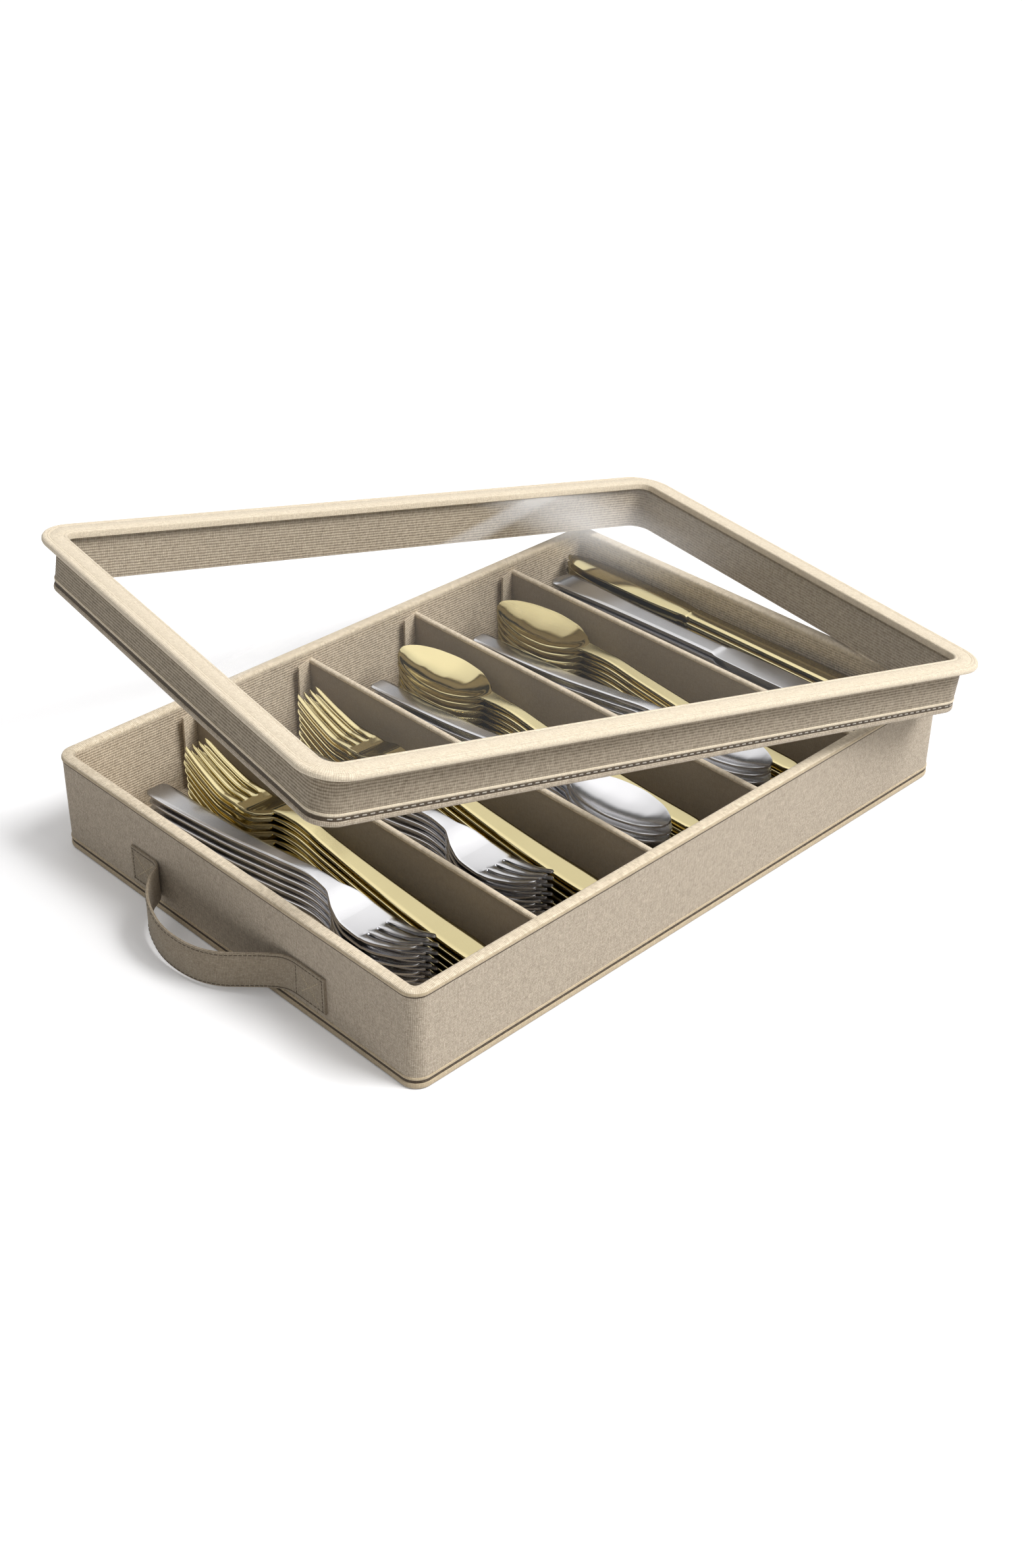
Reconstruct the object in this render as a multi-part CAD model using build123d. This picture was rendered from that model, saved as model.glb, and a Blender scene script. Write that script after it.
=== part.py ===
from build123d import *
import os

os.makedirs("parts", exist_ok=True)

# Silverware chest: a fabric-covered divided tray, its lift-off window lid, two strap handles and the
# flatware stacked in its bays. Millimetres, +Z up, +X along the tray, origin at the middle of its foot.

# ---------------------------------------------------------------- tray
tray_width = 282.0
tray_height = 57.0
tray_corner_radius = 9.0
tray_cover_thickness = 0.6
tray_board_thickness = 4.6
lining_thickness = 0.6
foot_cover_thickness = 0.8
floor_board_thickness = 2.2
rim_height = 3.0
rim_edge_radius = 1.1

# ---------------------------------------------------------------- hem trim, the same on the tray and the lid
bead_depth = 0.5
low_bead_height = 2.8
groove_height = 2.4
top_bead_height = 1.4
foot_gap = 0.2

# ---------------------------------------------------------------- bays, measured to the dividers' middles
first_bay_width = 81.7
last_bay_width = 62.2

# ---------------------------------------------------------------- dividers
divider_count = 4
divider_thickness = 3.0
divider_skin_thickness = 0.5
divider_height = 47.4
divider_pitch = 81.5
flap_width = 10.5
flap_thickness = 1.0
flap_stand_off = 3.0

# ---------------------------------------------------------------- lid
lid_clearance_x = 1.2
lid_clearance_y = 1.4
lid_cover_thickness = 0.4
lid_board_thickness = 1.7
lid_lining_thickness = 0.4
lid_height = 30.0
flange_overhang = 8.0
flange_height = 4.0
flange_cover_thickness = 0.8
flange_edge_radius = 1.2
frame_lap = 2.8
window_thickness = 0.8

# where the lid is held, off the tray
lid_shift_x = 14.8
lid_shift_y = 12.8
lid_gap = 0.6
lid_yaw = -10.2
lid_tilt = 9.9
lid_roll = -0.9

# ---------------------------------------------------------------- strap handles
strap_width = 21.0
strap_thickness = 2.2
tab_thickness = 1.4
tab_length = 24.0
tab_height = 10.5
strap_drop = 9.0
strap_back_end = 51.0
strap_front_end = -55.0
strap_joint_gap = 0.3
loop_back_end = 46.0
loop_front_end = -38.0
loop_reach = 27.0
loop_crest_y = 8.0
loop_shoulder_reach = 22.0
loop_shoulder_y = 44.0
loop_bend_back = 14.0
loop_bend_front = 25.0
drop_start_front = -34.0
drop_start_back = 38.0
webbing_tuck = 1.0

# ---------------------------------------------------------------- flatware
stack_pitch = 4.7
knife_pitch = 4.6
rest_gap = 0.3
silver_fork_count = 6
gold_fork_count = 7
spoon_count = 7
knife_count = 9
flatware_reach = 60.0
tip_overrun = 1.0

# from the divider on a stack's left to the stack's middle
silver_fork_offset = 33.0
gold_fork_offset = 55.0
silver_spoon_offset = 27.85
gold_spoon_offset = 52.35
silver_knife_offset = 22.9
gold_knife_offset = 49.0
first_bay_shift = 2.7

# from the wall behind a handle's end to that end, except the gold knives' tip
silver_fork_end_gap = 22.2
gold_fork_end_gap = 18.2
silver_spoon_end_gap = 26.2
gold_spoon_end_gap = 19.2
silver_knife_end_gap = 18.8
gold_knife_tip_gap = 2.0

# which way the heads point, in degrees from the back wall
silver_heading = 181.0
gold_fork_heading = -0.6
gold_spoon_heading = -0.2
gold_knife_heading = 0.0

# derived sizes of the tray
tray_wall = tray_cover_thickness + tray_board_thickness + lining_thickness
floor_top = foot_cover_thickness + floor_board_thickness + lining_thickness
wall_top = tray_height - rim_height
bay_half_width = tray_width / 2 - tray_wall
tray_length = first_bay_width + (divider_count - 1) * divider_pitch + last_bay_width + 2 * tray_wall
first_divider_x = tray_wall + first_bay_width - tray_length / 2

# derived sizes of the lid
lid_wall = lid_cover_thickness + lid_board_thickness + lid_lining_thickness
lid_length = tray_length + 2 * (lid_clearance_x + lid_wall)
lid_width = tray_width + 2 * (lid_clearance_y + lid_wall)
lid_corner_radius = tray_corner_radius + lid_clearance_x + lid_wall
flange_length = lid_length + 2 * flange_overhang
flange_width = lid_width + 2 * flange_overhang
flange_corner_radius = lid_corner_radius + flange_overhang
opening_length = lid_length - 2 * (lid_wall + frame_lap)
opening_width = lid_width - 2 * (lid_wall + frame_lap)
opening_corner_radius = lid_corner_radius - lid_wall - frame_lap


def block(length, width, radius, z_low, z_high):
    """Upright block with rounded corners."""
    return Pos(0, 0, z_low) * extrude(RectangleRounded(length, width, radius), z_high - z_low)


def band(length, width, radius, thickness, z_low, z_high):
    """Closed upright band, measured over its outer face."""
    outer = block(length, width, radius, z_low, z_high)
    inner = block(length - 2 * thickness, width - 2 * thickness, radius - thickness, z_low, z_high)
    return outer - inner


def four_walls(ring, length, width, z_low, z_high):
    """The ring mitred into its front, back, left and right walls."""
    half_x = length / 2
    half_y = width / 2
    ridge = half_x - half_y
    corners = {
        "front": ((-half_x, -half_y), (half_x, -half_y), (ridge, 0), (-ridge, 0)),
        "back": ((half_x, half_y), (-half_x, half_y), (-ridge, 0), (ridge, 0)),
        "left": ((-half_x, half_y), (-half_x, -half_y), (-ridge, 0)),
        "right": ((half_x, -half_y), (half_x, half_y), (ridge, 0)),
    }
    walls = {}
    for side, points in corners.items():
        wedge = extrude(Polygon(*points, align=None), z_high - z_low)
        walls[side] = ring & (Pos(0, 0, z_low) * wedge)
    return walls


def soften(shape, radius, height):
    """Round the edges that lie at a height."""
    edges = shape.edges().filter_by(lambda edge: abs(edge.bounding_box().min.Z - height) < 0.01
                                    and abs(edge.bounding_box().max.Z - height) < 0.01)
    return fillet(edges, radius)


# ================================================================ tray


def make_tray():
    """The tray's boards, skins, rim and hem trim."""
    pieces = {}
    inset = 2 * tray_cover_thickness
    board_length = tray_length - inset
    board_width = tray_width - inset
    board_radius = tray_corner_radius - tray_cover_thickness
    pieces["tray_foot_cover"] = block(board_length, board_width, board_radius, 0, foot_cover_thickness)
    core = band(board_length, board_width, board_radius, tray_board_thickness, foot_cover_thickness, wall_top)
    for side, wall in four_walls(core, board_length, board_width, foot_cover_thickness, wall_top).items():
        pieces[f"tray_{side}_board"] = wall
    well_length = board_length - 2 * tray_board_thickness
    well_width = board_width - 2 * tray_board_thickness
    well_radius = board_radius - tray_board_thickness
    floor_board_top = foot_cover_thickness + floor_board_thickness
    pieces["tray_floor_board"] = block(
        well_length, well_width, well_radius, foot_cover_thickness, floor_board_top)
    pieces["tray_outer_cover"] = band(
        tray_length, tray_width, tray_corner_radius, tray_cover_thickness, foot_gap, wall_top)
    lining = block(well_length, well_width, well_radius, floor_board_top, wall_top)
    hollow = block(
        well_length - 2 * lining_thickness, well_width - 2 * lining_thickness,
        well_radius - lining_thickness, floor_top, wall_top)
    pieces["tray_lining"] = lining - hollow
    rim = band(tray_length, tray_width, tray_corner_radius, tray_wall, wall_top, tray_height)
    pieces["tray_rim"] = soften(rim, rim_edge_radius, tray_height)
    return pieces


def make_beads(name, length, width, radius, z_low):
    """The two beads of a hem, with the stitched groove between them."""
    outer_length = length + 2 * bead_depth
    outer_width = width + 2 * bead_depth
    outer_radius = radius + bead_depth
    low_top = z_low + low_bead_height
    high_bottom = low_top + groove_height
    return {
        f"{name}_low_bead": band(outer_length, outer_width, outer_radius, bead_depth, z_low, low_top),
        f"{name}_high_bead": band(
            outer_length, outer_width, outer_radius, bead_depth, high_bottom, high_bottom + top_bead_height),
    }


# ================================================================ dividers


def make_divider(x):
    """A board, the skin folded over it and the flap at its back end."""
    depth = 2 * bay_half_width
    board_width = divider_thickness - 2 * divider_skin_thickness
    low_centre = (Align.CENTER, Align.CENTER, Align.MIN)
    board = Pos(x, 0, floor_top) * Box(
        board_width, depth, divider_height - divider_skin_thickness, align=low_centre)
    whole = Pos(x, 0, floor_top) * Box(divider_thickness, depth, divider_height, align=low_centre)
    face_x = x - divider_thickness / 2
    plan = Polygon(
        (face_x, bay_half_width), (face_x - flap_width, bay_half_width - flap_stand_off),
        (face_x - flap_width, bay_half_width - flap_stand_off - flap_thickness),
        (face_x, bay_half_width - flap_thickness), align=None)
    flap = Pos(0, 0, floor_top) * extrude(plan, divider_height)
    return board, whole - board, flap


# ================================================================ lid


def make_lid():
    """The lid in its own frame: flat top face at z = 0, walls hanging down."""
    pieces = {}
    cover_in = 2 * lid_cover_thickness
    board_in = cover_in + 2 * lid_board_thickness
    under_flange = -flange_height
    window_low = under_flange - window_thickness
    pieces["lid_outer_cover"] = band(
        lid_length, lid_width, lid_corner_radius, lid_cover_thickness, -lid_height, under_flange)
    core = band(
        lid_length - cover_in, lid_width - cover_in, lid_corner_radius - lid_cover_thickness,
        lid_board_thickness, -lid_height, under_flange)
    walls = four_walls(core, lid_length, lid_width, -lid_height, under_flange)
    for side, wall in walls.items():
        pieces[f"lid_{side}_board"] = wall
    pieces["lid_lining"] = band(
        lid_length - board_in, lid_width - board_in, lid_corner_radius - board_in / 2,
        lid_lining_thickness, -lid_height, window_low)
    pieces["lid_window"] = block(
        lid_length - board_in, lid_width - board_in, lid_corner_radius - board_in / 2,
        window_low, under_flange)
    flange = block(flange_length, flange_width, flange_corner_radius, under_flange, 0)
    flange = soften(flange, flange_edge_radius, 0)
    flange = soften(flange, flange_edge_radius, under_flange)
    flange = flange - block(opening_length, opening_width, opening_corner_radius, under_flange, 0)
    skin = 2 * flange_cover_thickness
    core_ring = block(
        flange_length - skin - 2 * flange_edge_radius, flange_width - skin - 2 * flange_edge_radius,
        flange_corner_radius - flange_cover_thickness - flange_edge_radius, under_flange,
        -flange_cover_thickness)
    core_ring = core_ring - block(
        opening_length + skin, opening_width + skin, opening_corner_radius + flange_cover_thickness,
        under_flange, 0)
    pieces["lid_frame_board"] = core_ring
    pieces["lid_frame_cover"] = flange - core_ring
    pieces.update(make_beads("lid", lid_length, lid_width, lid_corner_radius, -lid_height))
    return pieces


def lid_pose():
    """The lid held off the tray: its low right hem just clears the tray's right-hand rim."""
    turn = Rot(0, 0, lid_yaw) * Rot(0, lid_tilt, 0) * Rot(lid_roll, 0, 0)
    hem = (turn * Pos(lid_length / 2 + bead_depth, 0, -lid_height)).position
    along = (turn * Pos(0, 1, 0)).position
    reach = (tray_length / 2 - lid_shift_x - hem.X) / along.X
    hem_height = hem.Z + reach * along.Z
    return Pos(lid_shift_x, lid_shift_y, tray_height + lid_gap - hem_height) * turn


# ================================================================ strap handles


def make_strap():
    """The left-hand strap: two sewn tabs on the wall and the loop between them."""
    middle = strap_thickness / 2
    path = FilletPolyline(
        (middle, strap_back_end + webbing_tuck), (loop_shoulder_reach, loop_shoulder_y),
        (loop_reach, loop_crest_y), (middle, strap_front_end - webbing_tuck),
        radius=(loop_bend_back, loop_bend_front))
    webbing = make_face(path.offset_2d(middle, side=Side.BOTH))
    back_tab = Pos(0, strap_back_end) * Rectangle(tab_thickness, tab_length, align=(Align.MIN, Align.MIN))
    front_tab = Pos(0, strap_front_end) * Rectangle(tab_thickness, tab_length, align=(Align.MIN, Align.MAX))
    outside = Rectangle(2 * loop_reach, 2 * tray_width, align=(Align.MIN, Align.CENTER))
    plan = (webbing + back_tab + front_tab) & outside
    bottom = tab_height - strap_drop
    low_points = [
        (strap_front_end - tab_length, tab_height), (strap_front_end, tab_height), (drop_start_front, bottom),
        (drop_start_back, bottom), (strap_back_end, tab_height), (strap_back_end + tab_length, tab_height)]
    high_points = [(y, z + strap_width) for y, z in reversed(low_points)]
    side_view = Plane.YZ * Polygon(*low_points, *high_points, align=None)
    strap = extrude(plan, tab_height + strap_width) & extrude(side_view, 2 * loop_reach)
    middle_y = (loop_back_end + loop_front_end) / 2
    loop_length = loop_back_end - loop_front_end
    loop_zone = Pos(0, middle_y, 0) * Box(4 * loop_reach, loop_length, 4 * strap_width)
    loop_room = Pos(0, middle_y, 0) * Box(4 * loop_reach, loop_length + 2 * strap_joint_gap, 4 * strap_width)
    front_tail, back_tail = (strap - loop_room).solids().sort_by(Axis.Y)
    pieces = {"loop": strap & loop_zone, "front_tab": front_tail, "back_tab": back_tail}
    return {name: Pos(-tray_length / 2, 0, 0) * mirror(piece, Plane.YZ) for name, piece in pieces.items()}


# ================================================================ flatware


def side_band(length, tops, thicknesses, width, curve=Spline):
    """A slab whose side view follows heights and thicknesses given along its length."""
    top_points = [(share * length, height) for share, height in tops]
    low_points = [(y, z - t) for (y, z), t in zip(top_points, thicknesses)]
    upper = curve(*top_points)
    lower = curve(*low_points)
    ends = [Line(top_points[i], low_points[i]) for i in (0, -1)]
    return extrude(Plane.YZ * make_face([upper, lower, *ends]), width, both=True)


def plan_slab(length, halves, height):
    """A slab whose plan has the given half widths along its length."""
    right = [(half, share * length) for share, half in halves]
    left = [(-x, y) for x, y in right]
    edges = [Spline(*right), Spline(*left), Line(right[0], left[0]), Line(right[-1], left[-1])]
    return extrude(make_face(edges), height, both=True)


def tine_slots(length, root, root_spacing, tip_spacing, slot_width, tip_gap, height):
    """The three slots between four tines, closing up towards the tips."""
    slots = []
    root_y = root * length
    for place in (-1, 0, 1):
        at_root = place * root_spacing
        at_tip = place * tip_spacing
        shape = Polygon(
            (at_root - slot_width / 2, root_y), (at_root + slot_width / 2, root_y),
            (at_tip + tip_gap / 2, length + tip_overrun), (at_tip - tip_gap / 2, length + tip_overrun),
            align=None)
        shape = shape + Pos(at_root, root_y) * Circle(slot_width / 2)
        slots.append(extrude(shape, height, both=True))
    return slots


def make_fork(fork):
    """One fork from its handle end at y = 0 to its tips, lying face up."""
    body = side_band(fork["length"], fork["tops"], fork["thicknesses"], flatware_reach)
    body = body & plan_slab(fork["length"], fork["halves"], flatware_reach)
    for slot in tine_slots(fork["length"], fork["root"], fork["root_spacing"], fork["tip_spacing"],
                           fork["slot_width"], fork["tip_gap"], flatware_reach):
        body = body - slot
    return body


def make_spoon(spoon):
    """One spoon: a handle that runs into a dished oval bowl."""
    length = spoon["length"]
    handle = side_band(length, spoon["tops"], spoon["thicknesses"], flatware_reach)
    handle = handle & plan_slab(length, spoon["halves"], flatware_reach)
    half_length, half_width, depth = spoon["bowl"]
    round_radius = (half_width**2 + depth**2) / (2 * depth)
    lift = round_radius - depth
    long_radius = half_length * round_radius / half_width
    bowl_y = length - half_length

    def egg(shrink):
        profile = Ellipse(long_radius - shrink, round_radius - shrink)
        upper_half = profile & Rectangle(2 * long_radius, round_radius, align=(Align.CENTER, Align.MIN))
        return revolve(upper_half, Axis.X)

    shell = egg(0) - egg(spoon["gauge"])
    keep = Pos(0, 0, -lift) * Box(
        3 * long_radius, 3 * long_radius, 3 * long_radius, align=(Align.CENTER, Align.CENTER, Align.MAX))
    dish = Rot(0, 0, 90) * (shell & keep)
    slope = Rot(spoon["rim_slope"], 0, 0)
    place = Pos(0, bowl_y, spoon["rim_height"]) * slope * Pos(0, 0, lift)
    hollow = place * Rot(0, 0, 90) * (egg(spoon["gauge"]) & keep)
    return (handle - hollow) + place * dish


def make_knife(knife):
    """One table knife lying flat: a full handle, a shoulder and a thin rounded blade."""
    body = side_band(knife["length"], knife["tops"], knife["thicknesses"], flatware_reach, Polyline)
    return body & plan_slab(knife["length"], knife["halves"], flatware_reach)


def make_stack(piece, count, x, end_y, heading, pitch):
    """Copies of a piece lying on each other, the lowest one on the tray's floor."""
    place = Pos(x, end_y, floor_top + rest_gap) * Rot(0, 0, heading)
    return Compound([place * Pos(0, 0, level * pitch) * piece for level in range(count)])


neck = stack_pitch - rest_gap
knife_neck = knife_pitch - rest_gap

silver_fork = {
    "length": 213.0,
    "halves": ((0, 4.5), (0.03, 6.6), (0.15, 6.2), (0.45, 4.0), (0.60, 3.3), (0.68, 4.2), (0.73, 9.5),
               (0.79, 12.2), (0.86, 12.2), (0.93, 10.3), (1, 8.2)),
    "tops": ((0, 2.1), (0.15, 3.1), (0.30, 5.2), (0.50, 10.5), (0.62, 13.5), (0.69, 11.5), (0.77, 5.0),
             (0.85, 3.8), (0.92, 7.0), (1, 14.0)),
    "thicknesses": (1.9, 2.0, 2.2, 3.2, neck, 3.4, 2.4, 2.2, 1.9, 1.6),
    "root": 0.85,
    "root_spacing": 6.3,
    "tip_spacing": 4.7,
    "slot_width": 1.6,
    "tip_gap": 2.8,
}

gold_fork = {
    "length": 226.0,
    "halves": ((0, 5.0), (0.03, 6.8), (0.15, 6.5), (0.45, 4.6), (0.60, 4.2), (0.665, 4.6), (0.71, 8.0),
               (0.76, 9.8), (0.84, 10.2), (0.92, 9.4), (1, 8.3)),
    "tops": ((0, 2.1), (0.15, 3.1), (0.30, 5.5), (0.50, 10.5), (0.60, 13.5), (0.67, 12.4), (0.76, 5.2),
             (0.84, 5.2), (0.92, 10.0), (1, 17.5)),
    "thicknesses": (1.9, 2.0, 2.2, 3.2, neck, 3.6, 2.4, 2.2, 1.9, 1.6),
    "root": 0.80,
    "root_spacing": 5.2,
    "tip_spacing": 4.8,
    "slot_width": 1.5,
    "tip_gap": 2.9,
}

silver_spoon = {
    "length": 223.0,
    "halves": ((0, 4.6), (0.03, 6.1), (0.15, 5.7), (0.45, 4.0), (0.62, 3.4), (0.69, 4.6), (0.75, 9.0)),
    "tops": ((0, 2.1), (0.15, 2.9), (0.30, 4.4), (0.50, 9.0), (0.62, 12.0), (0.69, 11.6), (0.75, 9.2)),
    "thicknesses": (1.9, 2.0, 2.2, 3.0, neck, 3.4, 1.8),
    "bowl": (33.0, 15.8, 8.4),
    "gauge": 1.5,
    "rim_height": 10.4,
    "rim_slope": 0.0,
}

gold_spoon = {
    "length": 231.0,
    "halves": ((0, 4.4), (0.03, 5.2), (0.15, 5.0), (0.45, 4.2), (0.62, 3.8), (0.68, 4.8), (0.73, 9.5)),
    "tops": ((0, 2.1), (0.15, 3.1), (0.30, 5.2), (0.50, 10.0), (0.60, 13.0), (0.68, 12.8), (0.73, 10.6)),
    "thicknesses": (1.9, 2.0, 2.2, 3.0, neck, 3.4, 1.8),
    "bowl": (35.5, 18.0, 10.2),
    "gauge": 1.5,
    "rim_height": 12.4,
    "rim_slope": 2.0,
}

silver_knife = {
    "length": 240.0,
    "halves": ((0, 7.6), (0.03, 9.0), (0.15, 7.8), (0.30, 6.6), (0.45, 6.2), (0.54, 6.5), (0.60, 8.4),
               (0.72, 8.9), (0.86, 8.6), (0.95, 6.0), (1, 2.0)),
    "tops": ((0, knife_neck - 1), (0.02, knife_neck), (0.54, knife_neck), (0.58, 3.4), (1, 3.0)),
    "thicknesses": (knife_neck - 2, knife_neck, knife_neck, 2.0, 1.2),
}

gold_knife = {
    "length": 230.0,
    "halves": ((0, 6.0), (0.03, 7.4), (0.20, 7.0), (0.45, 6.2), (0.53, 6.2), (0.60, 7.6), (0.70, 8.9),
               (0.86, 8.9), (0.95, 6.6), (1, 2.0)),
    "tops": ((0, knife_neck - 1), (0.02, knife_neck), (0.53, knife_neck), (0.57, 3.6), (1, 4.1)),
    "thicknesses": (knife_neck - 2, knife_neck, knife_neck, 2.0, 1.2),
}

bay_lines = [first_divider_x + i * divider_pitch for i in range(divider_count)]
stack_lines = [bay_lines[0] - divider_pitch + first_bay_shift, *bay_lines]
bay_starts = dict(zip(("bay_1", "bay_2", "bay_3", "bay_4", "bay_5"), stack_lines))
back = bay_half_width
front = -bay_half_width

# name, piece, how many, offset, where the handles end, which way the heads point, pitch, bays
stacks = (
    ("silver_forks", make_fork(silver_fork), silver_fork_count, silver_fork_offset,
     back - silver_fork_end_gap, silver_heading, stack_pitch, ("bay_1", "bay_2")),
    ("gold_forks", make_fork(gold_fork), gold_fork_count, gold_fork_offset,
     front + gold_fork_end_gap, gold_fork_heading, stack_pitch, ("bay_1", "bay_2")),
    ("silver_spoons", make_spoon(silver_spoon), spoon_count, silver_spoon_offset,
     back - silver_spoon_end_gap, silver_heading, stack_pitch, ("bay_3", "bay_4")),
    ("gold_spoons", make_spoon(gold_spoon), spoon_count, gold_spoon_offset,
     front + gold_spoon_end_gap, gold_spoon_heading, stack_pitch, ("bay_3", "bay_4")),
    ("silver_knives", make_knife(silver_knife), knife_count, silver_knife_offset,
     back - silver_knife_end_gap, silver_heading, knife_pitch, ("bay_5",)),
    ("gold_knives", make_knife(gold_knife), knife_count, gold_knife_offset,
     back - gold_knife_tip_gap - gold_knife["length"], gold_knife_heading, knife_pitch, ("bay_5",)),
)

# ================================================================ the whole chest
nodes = make_tray()
nodes.update(make_beads("tray", tray_length, tray_width, tray_corner_radius, foot_gap))
for number, line_x in enumerate(bay_lines, start=1):
    board, skin, flap = make_divider(line_x)
    nodes[f"divider_{number}_board"] = board
    nodes[f"divider_{number}_skin"] = skin
    nodes[f"divider_{number}_flap"] = flap
held = lid_pose()
for name, piece in make_lid().items():
    nodes[name] = held * piece
opposite = {"loop": "loop", "front_tab": "back_tab", "back_tab": "front_tab"}
for name, piece in make_strap().items():
    nodes[f"left_strap_{name}"] = piece
    nodes[f"right_strap_{opposite[name]}"] = Rot(0, 0, 180) * piece
for name, piece, count, offset, end_y, heading, pitch, bays in stacks:
    for bay in bays:
        stack = make_stack(piece, count, bay_starts[bay] + offset, end_y, heading, pitch)
        nodes[f"{name}_{bay}"] = stack
for name, shape in nodes.items():
    export_step(shape, f"parts/{name}.step")
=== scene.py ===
import math
import random

import bpy
import numpy as np
from mathutils import Euler, Matrix, Vector


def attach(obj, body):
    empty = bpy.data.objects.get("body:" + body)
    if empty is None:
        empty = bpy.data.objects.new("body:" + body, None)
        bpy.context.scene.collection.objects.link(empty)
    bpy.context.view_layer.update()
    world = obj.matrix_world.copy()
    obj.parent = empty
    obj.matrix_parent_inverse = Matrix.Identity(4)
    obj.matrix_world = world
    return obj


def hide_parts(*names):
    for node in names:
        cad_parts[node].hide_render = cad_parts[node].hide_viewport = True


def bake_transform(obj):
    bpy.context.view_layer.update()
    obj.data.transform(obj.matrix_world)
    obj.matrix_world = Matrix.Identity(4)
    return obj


# Silverware chest: its fabric-covered tray and window lid, its strap handles and the flatware in its bays.
# Shapes are worked out in millimetres and turned into metres when a mesh is made. A size such as TRAY is
# (length along X, width along Y, corner radius). The lid's own heights run down from 0 at its frame's top.

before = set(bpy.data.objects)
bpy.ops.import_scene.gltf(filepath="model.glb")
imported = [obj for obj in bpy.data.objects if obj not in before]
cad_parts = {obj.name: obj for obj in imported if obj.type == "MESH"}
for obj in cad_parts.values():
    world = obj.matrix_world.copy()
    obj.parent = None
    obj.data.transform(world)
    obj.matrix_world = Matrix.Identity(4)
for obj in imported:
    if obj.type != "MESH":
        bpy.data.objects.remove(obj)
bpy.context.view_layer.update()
random.seed(7)
MM = 0.001

# ------------------------------------------------------------------ cloth
RIB_PITCH = 1.6
BEAD_PITCH = 1.1
RIDGE_PITCH = 0.85
RIB_DEPTH = 0.14
THREAD_DRIFT = 0.9
STITCH_PITCH = 4.3
STRAP_STITCH_PITCH = 2.2

# ------------------------------------------------------------------ sizes, as in the CAD
TRAY = (400.0, 282.0, 9.0)
TRAY_TOP = 57.0
RIM_LOW = TRAY_TOP - 3.0
TRAY_WALL = 5.8
FLOOR_TOP = 3.6
LID_WALL = 2.5
LID_GAP_X, LID_GAP_Y = 1.2, 1.4
LID_OUT_X, LID_OUT_Y = LID_GAP_X + LID_WALL, LID_GAP_Y + LID_WALL
LID = (TRAY[0] + 2 * LID_OUT_X, TRAY[1] + 2 * LID_OUT_Y, TRAY[2] + LID_OUT_X)
LID_DEPTH = 30.0
FLANGE_OUT = 8.0
FLANGE_DEEP = 4.0
WINDOW_LIP = 2.8
LIP_IN = LID_WALL + WINDOW_LIP
WINDOW_THICK = 0.8
BAY_HALF = TRAY[1] / 2 - TRAY_WALL
DIVIDER_PITCH = 81.5
FIRST_DIVIDER = -112.5
DIVIDERS = [FIRST_DIVIDER + DIVIDER_PITCH * i for i in range(4)]
FIRST_BAY_SHIFT = 2.7
DIVIDER_HEIGHT = 47.4
DIVIDER_TOP = FLOOR_TOP + DIVIDER_HEIGHT
STRAP_HALF = 10.5
LID_PLACE = (14.8, 12.8, 121.58)
LID_YAW, LID_TILT, LID_ROLL = math.radians(-10.2), math.radians(9.9), math.radians(-0.9)
LID_POSE = (
    Matrix.Translation(LID_PLACE)
    @ Euler((0, 0, LID_YAW)).to_matrix().to_4x4()
    @ Euler((0, LID_TILT, 0)).to_matrix().to_4x4()
    @ Euler((LID_ROLL, 0, 0)).to_matrix().to_4x4()
)
STACK_PITCH = 4.7
KNIFE_PITCH = 4.6
REST_GAP = 0.3
REST = FLOOR_TOP + REST_GAP
TINES = 4
TINE_CROWN = 0.6
FLATWARE_BEVEL = 0.45
BEVEL_SHARE = 0.78


# ------------------------------------------------------------------ materials
class Shader:
    """A material or a world and its node tree, built a node at a time."""

    def __init__(self, name, owner=bpy.data.materials, output="ShaderNodeOutputMaterial"):
        self.material = owner.new(name)
        self.material.use_nodes = True
        self.tree = self.material.node_tree
        self.tree.nodes.clear()
        self.out = self.tree.nodes.new(output)

    def add(self, kind, inputs=None, **settings):
        node = self.tree.nodes.new("ShaderNode" + kind)
        for key, value in settings.items():
            setattr(node, key, value)
        for key, value in (inputs or {}).items():
            if isinstance(value, bpy.types.NodeSocket):
                self.tree.links.new(value, node.inputs[key])
            else:
                node.inputs[key].default_value = value
        return node

    def maths(self, operation, a, b=0.0):
        return self.add("Math", {0: a, 1: b}, operation=operation).outputs[0]

    def noise(self, vector, scale, detail=3.0, roughness=0.55):
        inputs = {"Vector": vector, "Scale": scale, "Detail": detail, "Roughness": roughness}
        return self.add("TexNoise", inputs).outputs["Fac"]

    def stretch(self, vector, scale):
        return self.add("Mapping", {"Vector": vector, "Scale": scale}).outputs["Vector"]

    def ramp(self, value, low, high, to_low=0.0, to_high=1.0, kind="LINEAR"):
        """Take a value that runs from low to high over to another range, and hold it outside."""
        inputs = {"Value": value, 1: low, 2: high, 3: to_low, 4: to_high}
        return self.add("MapRange", inputs, interpolation_type=kind).outputs["Result"]

    def sine(self, value, pitch, phase=0.0):
        return self.maths("SINE", self.maths("ADD", self.maths("MULTIPLY", value, math.pi / pitch), phase))

    def wave(self, value, pitch, phase=0.0):
        """Rounded threads at an even pitch: 0 between two threads and 1 on the top of one."""
        return self.maths("ABSOLUTE", self.sine(value, pitch, phase))

    def mix(self, factor, a, b):
        return self.add("Mix", {0: factor, 6: a, 7: b}, data_type="RGBA").outputs[2]

    def surface(self, shader):
        self.tree.links.new(shader, self.out.inputs["Surface"])
        return self.material


def rgb(r, g, b):
    """Linear colour from the usual 0 to 255 values."""
    return tuple((c / 255) ** 2.2 for c in (r, g, b)) + (1.0,)


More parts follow.
